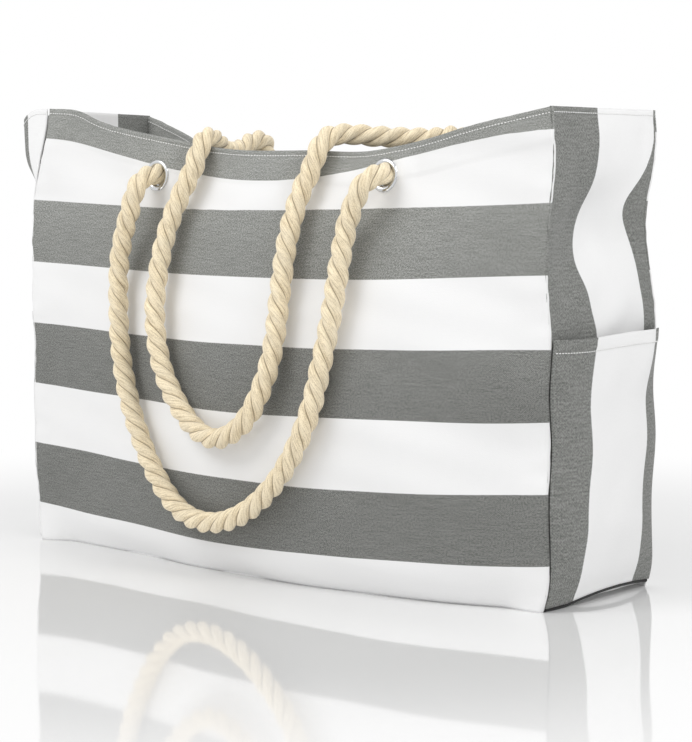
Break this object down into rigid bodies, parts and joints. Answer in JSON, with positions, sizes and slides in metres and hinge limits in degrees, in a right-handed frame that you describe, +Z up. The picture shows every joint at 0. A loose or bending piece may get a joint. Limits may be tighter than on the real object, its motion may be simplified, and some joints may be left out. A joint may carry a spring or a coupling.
{
  "type": "rope handle tote bag",
  "caption": "Open canvas tote with broad stripes, slip pockets on its sides, steel eyelets and twisted rope handles that both hang over the front.",
  "frame": {"origin": "middle of the underside of the base, on the surface that the bag stands on", "axes": "+X to the right as seen from the front, along the bag's width; +Y from the front to the back; +Z up"},
  "size_m": [0.583, 0.2388, 0.3881],
  "materials": {
    "striped_canvas": "woven cotton canvas, broad white and grey stripes",
    "lining_cloth": "thin plain woven lining",
    "cotton_rope": "natural cotton, three strands laid together",
    "steel": "polished",
    "dark_trim": "dark tape"
  },
  "bodies": {
    "root": {"back_eyelet_left": "steel", "back_eyelet_right": "steel", "back_eyelet_washer_left": "steel", "back_eyelet_washer_right": "steel", "back_handle_end_left": "cotton_rope", "back_handle_end_right": "cotton_rope", "back_panel": "striped_canvas", "bottom_panel": "striped_canvas", "front_eyelet_left": "steel", "front_eyelet_right": "steel", "front_eyelet_washer_left": "steel", "front_eyelet_washer_right": "steel", "front_handle_end_left": "cotton_rope", "front_handle_end_right": "cotton_rope", "front_panel": "striped_canvas", "hem_facing_back": "striped_canvas", "hem_facing_front": "striped_canvas", "hem_facing_left": "striped_canvas", "hem_facing_right": "striped_canvas", "inner_pocket_pouch": "lining_cloth", "left_base_edging": "dark_trim", "left_gusset": "striped_canvas", "left_side_pocket": "striped_canvas", "lining_back": "lining_cloth", "lining_bottom": "lining_cloth", "lining_front": "lining_cloth", "lining_left": "lining_cloth", "lining_right": "lining_cloth", "right_base_edging": "dark_trim", "right_gusset": "striped_canvas", "right_side_pocket": "striped_canvas", "snap_socket": "steel", "snap_stud": "steel", "zip_stop_left": "steel", "zip_stop_right": "steel", "zip_tape_lower": "dark_trim", "zip_tape_upper": "dark_trim", "zip_teeth_lower": "steel", "zip_teeth_upper": "steel"},
    "front_handle": {"front_handle": "cotton_rope"},
    "back_handle_span": {"back_handle_span_left": "cotton_rope", "back_handle_span_right": "cotton_rope"},
    "back_handle_loop": {"back_handle_loop": "cotton_rope"},
    "zip_slider": {"zip_slider": "steel"},
    "zip_pull": {"zip_pull": "steel"}
  },
  "joints": [
    {"name": "front_handle_swing", "type": "hinge", "parent": "root", "child": "front_handle", "pos_m": [0, -0.0935, 0.3265], "axis": [-1, 0, 0], "range_deg": [0, 165]},
    {"name": "back_handle_lift", "type": "hinge", "parent": "root", "child": "back_handle_span", "pos_m": [0, 0.0475, 0.3565], "axis": [-1, 0, 0], "range_deg": [0, 90]},
    {"name": "back_handle_unfold", "type": "hinge", "parent": "back_handle_span", "child": "back_handle_loop", "pos_m": [0, -0.079, 0.362], "axis": [-1, 0, 0], "range_deg": [0, 90]},
    {"name": "zip_slide", "type": "slide", "parent": "root", "child": "zip_slider", "axis": [1, 0, 0], "range_m": [0, 0.148]},
    {"name": "zip_pull_swing", "type": "hinge", "parent": "zip_slider", "child": "zip_pull", "pos_m": [-0.0748, 0.05227, 0.26035], "axis": [-1, 0, 0], "range_deg": [0, 150]}
  ],
  "couplings": [
    {"joint": "back_handle_unfold", "follows": "back_handle_lift", "ratio": 1}
  ]
}
